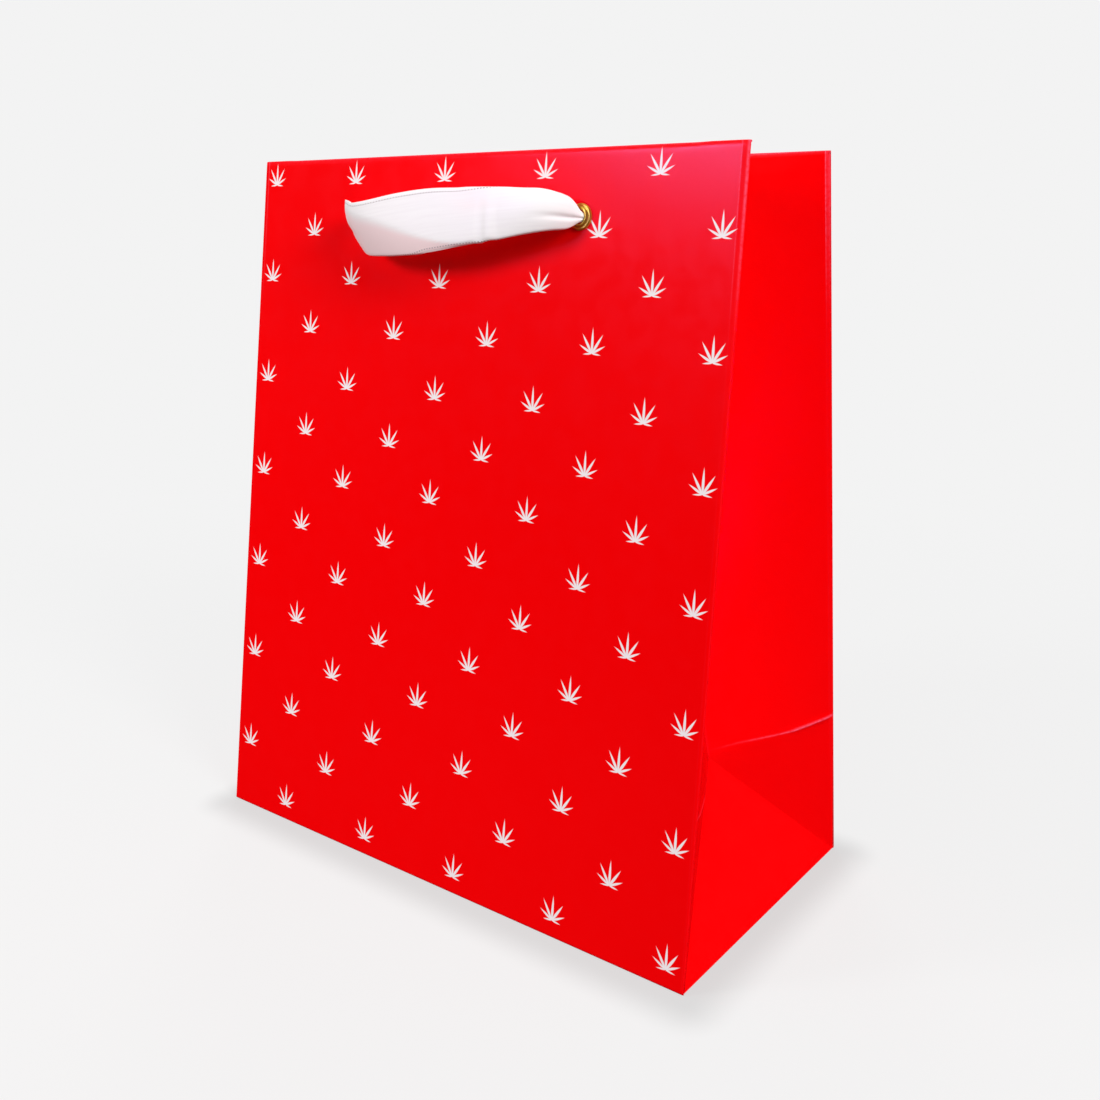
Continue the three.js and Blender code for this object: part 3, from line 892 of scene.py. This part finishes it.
def eyelet(wall, side):
    """Two-part eyelet: a rolled flange outside with a raised lip round the bore, and its washer inside."""
    corner = corner_name(wall, side)
    bore, flange = BORE_R, EYELET_R
    surface = wall_surface(side * EYELET_X, EYELET_S)
    profile = [
        (bore, 3.0 * MM), (bore, 1.2 * MM), (bore, -0.7 * MM),
        (bore + 0.06 * MM, -1.05 * MM), (bore + 0.22 * MM, -1.28 * MM), (bore + 0.45 * MM, -1.36 * MM),
        (bore + 0.70 * MM, -1.28 * MM), (bore + 0.88 * MM, -1.05 * MM), (bore + 0.96 * MM, -0.78 * MM),
        (bore + 1.06 * MM, -0.62 * MM), (bore + 1.24 * MM, -0.68 * MM), (bore + 1.50 * MM, -0.76 * MM),
        (bore + 1.74 * MM, -0.70 * MM), (flange - 0.08 * MM, -0.42 * MM), (flange, -0.12 * MM),
        (flange - 0.02 * MM, 0.16 * MM), (flange - 0.20 * MM, 0.22 * MM), (bore + 0.45 * MM, 0.10 * MM),
        (bore + 0.40 * MM, 1.4 * MM), (bore + 0.40 * MM, 3.0 * MM), (bore + 0.9 * MM, 3.15 * MM),
        (bore + 1.35 * MM, 3.25 * MM), (bore + 1.35 * MM, 3.5 * MM), (bore + 0.8 * MM, 3.55 * MM),
        (bore + 0.2 * MM, 3.4 * MM),
    ]
    verts, faces = lathe(profile, 64)
    move = Vector((side * EYELET_X, 0, EYELET_S))
    sunk = Vector((0, min(surface, 0.35 * MM), 0))
    made = new_object(corner + "_eyelet_metal", [v + move + sunk for v in verts], faces, ["brass"])
    made.data.transform(wall_matrix(wall))
    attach(made, wall + "_wall")
    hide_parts(corner + "_eyelet")

    ring = [
        (2.95 * MM, 2.55 * MM), (3.5 * MM, 2.42 * MM), (4.1 * MM, 2.5 * MM), (4.2 * MM, 2.68 * MM),
        (4.1 * MM, 2.84 * MM), (3.5 * MM, 2.92 * MM), (3.0 * MM, 2.86 * MM), (2.92 * MM, 2.7 * MM),
    ]
    verts, faces = lathe(ring, 56)
    washer = new_object(corner + "_washer_ring", [v + move for v in verts], faces, ["brass"])
    washer.data.transform(wall_matrix(wall))
    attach(washer, wall + "_wall")
    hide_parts(corner + "_eyelet_washer")


def catmull(points, place):
    """A point on the smooth line through the rows of numbers."""
    k = min(int(place), len(points) - 2)
    t = place - k
    p = [points[max(0, min(len(points) - 1, k + d))] for d in (-1, 0, 1, 2)]
    return [
        0.5 * (2 * b + (c - a) * t + (2 * a - 5 * b + 4 * c - d) * t * t + (3 * b - a - 3 * c + d) * t ** 3)
        for a, b, c, d in zip(*p)
    ]


def ribbon_line(row):
    """Points over the ribbon's width, from its lower to its upper edge, each with the weight of its painted
    pinkish shade.
    """
    top_x, top_out, top_rise, low_x, low_out, low_rise, bend, pleat, belly = row
    line = []
    for j in range(RIBBON_COLUMNS + 1):
        v = 2 * j / RIBBON_COLUMNS - 1
        share = (1 - v) / 2
        turned = max(0.0, bend - v) / (bend + 1.001)
        out = top_out + (low_out - top_out) * (turned ** 1.3 if bend > -1 else share)
        out += belly * (1 - v * v) - 1.3 * pleat * math.exp(-(((v + 0.30) / 0.17) ** 2))
        x = top_x + (low_x - top_x) * share + math.copysign(1.2 * pleat, top_x) * (1 - v * v)
        rise = top_rise + (low_rise - top_rise) * share
        # painted shade: a soft patch near the top edge, and a pinker shade where the ribbon turns down on the
        # left
        painted_top_shade = 0.40 * math.exp(-(((x - 15) / 8) ** 2 + ((v - 0.7) / 0.5) ** 2))
        painted_shade = max(painted_top_shade, smooth(3.0 * turned) * smooth((18 - x) / 14))
        line.append((Vector((x * MM, -out * MM, EYELET_S + rise * MM)), painted_shade))
    return line


def rolled_back(edge, outward, normal, hidden, radius):
    """(point, normal, length) along the cloth that rolls back behind an edge of the ribbon."""
    cells = []
    for k in range(1, ROLL_COLUMNS + 1):
        length = hidden * k / ROLL_COLUMNS
        turn = min(length / radius, ROLL_TURN)
        past = length - turn * radius
        across = radius * math.sin(turn) + past * math.cos(turn)
        behind = radius * (1 - math.cos(turn)) + past * math.sin(turn)
        point = edge + outward * across - normal * behind
        cells.append((point, normal * math.cos(turn) + outward * math.sin(turn), length))
    return cells


def ribbon_row(before, line, after, run):
    """Cells over the ribbon's whole width, its rolled-back edges included."""
    seen, arc = [], 0.0
    for j, (point, painted_shade) in enumerate(line):
        if j:
            arc += (point - line[j - 1][0]).length
        beside = line[min(j + 1, RIBBON_COLUMNS)][0] - line[max(j - 1, 0)][0]
        normal = beside.cross(after[j][0] - before[j][0]).normalized()
        seen.append((point, normal, arc, painted_shade, beside.normalized()))
    chord = (line[-1][0] - line[0][0]).length
    radius = min(0.6 * MM, 0.12 * chord)
    hidden = max(0.3 * MM, min((RIBBON_WIDTH - arc) / 2 - RIBBON_EASE, 0.45 * chord))
    turned_under = 1.3 * MM * smooth((-4 - line[RIBBON_COLUMNS // 2][0].x / MM) / 8)
    low = max(hidden, min(hidden + turned_under, 0.45 * chord))
    first, last = seen[0], seen[-1]
    cells = [
        (point, normal, low - length, first[3])
        for point, normal, length in rolled_back(first[0], -first[4], first[1], low, radius)[::-1]
    ]
    cells += [(point, normal, low + along, painted_shade) for point, normal, along, painted_shade, _ in seen]
    cells += [
        (point, normal, low + arc + length, last[3])
        for point, normal, length in rolled_back(last[0], last[4], last[1], hidden, radius)
    ]
    whole = low + arc + hidden
    return [
        (
            point - normal * RIBBON_THICK / 2,
            point + normal * RIBBON_THICK / 2,
            (run, (across / whole - 0.5) * RIBBON_WIDTH),
            painted_shade,
        )
        for point, normal, across, painted_shade in cells
    ]


def ribbon(wall):
    """The handle in two halves that meet in the middle."""
    last = len(RIBBON_PATH) - 1
    lines = [ribbon_line(catmull(RIBBON_PATH, last * i / RIBBON_ROWS)) for i in range(RIBBON_ROWS + 1)]
    middle = RIBBON_COLUMNS // 2
    rows, run = [], 0.0
    for i, line in enumerate(lines):
        before, after = lines[max(i - 1, 0)], lines[min(i + 1, RIBBON_ROWS)]
        if i:
            run += (line[middle][0] - before[middle][0]).length
        rows.append(ribbon_row(before, line, after, run))
    split = min(range(len(lines)), key=lambda i: abs(lines[i][middle][0].x))
    for side, part in ((1, rows[: split + 1]), (-1, rows[split:])):
        corner = corner_name(wall, side)
        made = sheet_from_rows(corner + "_ribbon", part, ["satin", "satin"])
        made.data.transform(wall_matrix(wall))
        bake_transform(made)
        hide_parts(wall + "_ribbon_handle")


def knot_loops(centre_y):
    """Points, faces and places on the ribbon of the pulled-tight loops, as one creased cord."""
    verts, faces, uvs = [], [], []
    for i in range(KNOT_STEPS + 1):
        t = i / KNOT_STEPS
        turn = 2 * math.pi * KNOT_LOOPS * t
        wide = KNOT_LOOP_R * math.sin(math.pi * t) ** 0.35
        at = Vector((
            wide * math.cos(turn) * 0.95,
            centre_y + wide * math.sin(turn * 1.5) * 0.62,
            wide * math.sin(turn) * 0.95,
        ))
        step = Vector((-math.sin(turn), 0.5 * math.cos(turn * 1.5), math.cos(turn))).normalized()
        side_way = step.cross(Vector((0, 1, 0.2))).normalized()
        other = step.cross(side_way)
        thick = (1.55 + 0.25 * math.sin(6 * turn)) * MM
        for k in range(KNOT_RING):
            a = 2 * math.pi * k / KNOT_RING
            fold = 1 + 0.14 * math.cos(5 * a + 2 * turn)
            sideways = side_way * thick * fold * math.cos(a)
            verts.append(at + sideways + other * thick * 0.8 * fold * math.sin(a))
            uvs.append((t * 0.06, (k / KNOT_RING - 0.5) * RIBBON_WIDTH))
    for i in range(KNOT_STEPS):
        for k in range(KNOT_RING):
            a, b = i * KNOT_RING + k, i * KNOT_RING + (k + 1) % KNOT_RING
            faces.append([a, b, b + KNOT_RING, a + KNOT_RING])
    faces.append(list(range(KNOT_RING))[::-1])
    faces.append(list(range(KNOT_STEPS * KNOT_RING, (KNOT_STEPS + 1) * KNOT_RING)))
    return verts, faces, uvs


def add_strip(shape, points, widths):
    """Adds a narrow curled strip of ribbon along the points, given its width at each."""
    verts, faces, uvs = shape
    base = len(verts)
    for i, (point, width) in enumerate(zip(points, widths)):
        ahead = (points[min(i + 1, len(points) - 1)] - points[max(i - 1, 0)]).normalized()
        across = ahead.cross(Vector((0, 1, 0)) if abs(ahead.y) < 0.8 else Vector((0, 0, 1))).normalized()
        lift = across.cross(ahead)
        for layer in (-1, 1):
            for j in range(STRIP_COLUMNS):
                v = 2 * j / (STRIP_COLUMNS - 1) - 1
                curl = 0.22 * width * (v * v) + 0.05 * width * math.sin(5 * v + i)
                verts.append(point + across * v * width / 2 + lift * (curl + layer * 0.18 * MM))
                uvs.append((i * 0.002, v * RIBBON_WIDTH / 2))
    stride = 2 * STRIP_COLUMNS
    around = list(range(STRIP_COLUMNS)) + list(range(stride - 1, STRIP_COLUMNS - 1, -1))
    for i in range(len(points) - 1):
        for a, b in zip(around, around[1:] + around[:1]):
            p, q = base + i * stride + a, base + i * stride + b
            faces.append([p, q, q + stride, p + stride])
    faces.append([base + a for a in around][::-1])
    faces.append([base + (len(points) - 1) * stride + a for a in around])


def knot(wall, side):
    """The ribbon's end inside the bag: a pulled-tight overhand knot and its cut tail."""
    corner = corner_name(wall, side)
    centre_y = (KNOT_FROM + KNOT_TO) / 2
    shape = knot_loops(centre_y)
    add_strip(shape, [Vector((0, y, 0)) for y in NECK_DEPTHS], NECK_WIDTHS)
    tail = [Vector((0.6 * MM, centre_y + bulge * MM, -down * MM)) for down, bulge in TAIL_DROPS]
    add_strip(shape, tail, TAIL_WIDTHS)
    verts, faces, uvs = shape
    move = Vector((side * EYELET_X, 0, EYELET_S))
    made = new_object(corner + "_knot", [v + move for v in verts], faces, ["satin"], None, uvs)
    made.data.transform(wall_matrix(wall))
    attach(made, wall + "_wall")
    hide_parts(corner + "_ribbon_knot")


# ---- CAD pieces that keep their shape -----------------------------------------------------------


def paint_frame_nodes():
    painted = {
        "base_board": "card",
        "front_top_card": "card",
        "back_top_card": "card",
        "seam_flap": "white",
        "base_flap_front": "plain",
        "base_flap_back": "plain",
        "base_flap_left": "plain",
        "base_flap_right": "plain",
    }
    for node, material in painted.items():
        mesh = frame["nodes"][node].data
        mesh.materials.clear()
        mesh.materials.append(MAT[material])


# ---- Stage --------------------------------------------------------------------------------------


def floor():
    rings, steps = 10, 64
    verts = [Vector((0, 0, 0))]
    faces = []
    for i in range(1, rings + 1):
        radius = FLOOR_RADIUS * (i / rings) ** 2
        for k in range(steps):
            turn = 2 * math.pi * k / steps
            verts.append(Vector((radius * math.cos(turn), radius * math.sin(turn), 0)))
    for k in range(steps):
        faces.append([0, 1 + k, 1 + (k + 1) % steps])
        for i in range(rings - 1):
            a, b = 1 + i * steps + k, 1 + i * steps + (k + 1) % steps
            faces.append([a, a + steps, b + steps, b])
    MAT["floor"] = floor_paint()
    made = new_object("studio_floor", verts, faces, ["floor"])
    made.location.z = -FLOOR_DROP
    made.visible_glossy = False


def reflection_card(name, centre, target, width, height, colour, strength):
    """A lit card seen only in gloss."""
    n = Nodes(name)
    glow = n.node("Emission")
    glow.inputs["Color"].default_value = (*colour, 1)
    glow.inputs["Strength"].default_value = strength
    n.put(n.tree.nodes["Material Output"].inputs["Surface"], glow.outputs[0])
    MAT[name] = n.material
    w, h = width / 2, height / 2
    corners = [Vector((-w, -h, 0)), Vector((w, -h, 0)), Vector((w, h, 0)), Vector((-w, h, 0))]
    made = new_object(name, corners, [[0, 1, 2, 3]], [name])
    aim = (Vector(centre) - Vector(target)).to_track_quat("Z", "Y")
    made.matrix_world = Matrix.Translation(centre) @ aim.to_matrix().to_4x4()
    made.visible_camera = False
    made.visible_diffuse = False
    made.visible_shadow = False


def key_light(name, centre, size, power):
    """A soft lamp that lights colours but leaves no gloss of its own."""
    data = bpy.data.lights.new(name, "AREA")
    data.shape = "DISK"
    data.size = size
    data.energy = power
    data.cycles.use_multiple_importance_sampling = False
    lamp = bpy.data.objects.new(name, data)
    aim = (Vector(centre) - Vector(LAMP_AIM)).to_track_quat("Z", "Y")
    lamp.matrix_world = Matrix.Translation(centre) @ aim.to_matrix().to_4x4()
    lamp.visible_glossy = False
    bpy.context.scene.collection.objects.link(lamp)


def studio():
    world = bpy.data.worlds.new("studio")
    world.use_nodes = True
    tree = world.node_tree
    seen = tree.nodes["Background"]
    seen.inputs[0].default_value = (BACKDROP, BACKDROP, BACKDROP, 1)
    light = tree.nodes.new("ShaderNodeBackground")
    light.inputs[0].default_value = (1, 1, 1, 1)
    path = tree.nodes.new("ShaderNodeLightPath")
    dim = tree.nodes.new("ShaderNodeMath")
    dim.operation = "MULTIPLY_ADD"
    tree.links.new(path.outputs["Is Glossy Ray"], dim.inputs[0])
    dim.inputs[1].default_value = GLOSS_AMBIENT - AMBIENT
    dim.inputs[2].default_value = AMBIENT
    tree.links.new(dim.outputs[0], light.inputs[1])
    mix = tree.nodes.new("ShaderNodeMixShader")
    tree.links.new(path.outputs["Is Camera Ray"], mix.inputs[0])
    tree.links.new(light.outputs[0], mix.inputs[1])
    tree.links.new(seen.outputs[0], mix.inputs[2])
    tree.links.new(mix.outputs[0], tree.nodes["World Output"].inputs[0])
    world.cycles.sampling_method = "NONE"
    bpy.context.scene.world = world
    bpy.context.scene.view_settings.view_transform = "Standard"

    for name, (centre, size, power) in KEYS.items():
        key_light(name, centre, size, power)
    for name, card in CARDS.items():
        reflection_card(name, *card)


make_camera()
for wall in WALL_TURNS:
    wall_sheet(wall)
    ribbon(wall)
    for side in (-1, 1):
        gusset_sheet(wall, side)
        eyelet(wall, side)
        knot(wall, side)
for side in (-1, 1):
    bottom_triangle(side)
paint_frame_nodes()
floor()
studio()
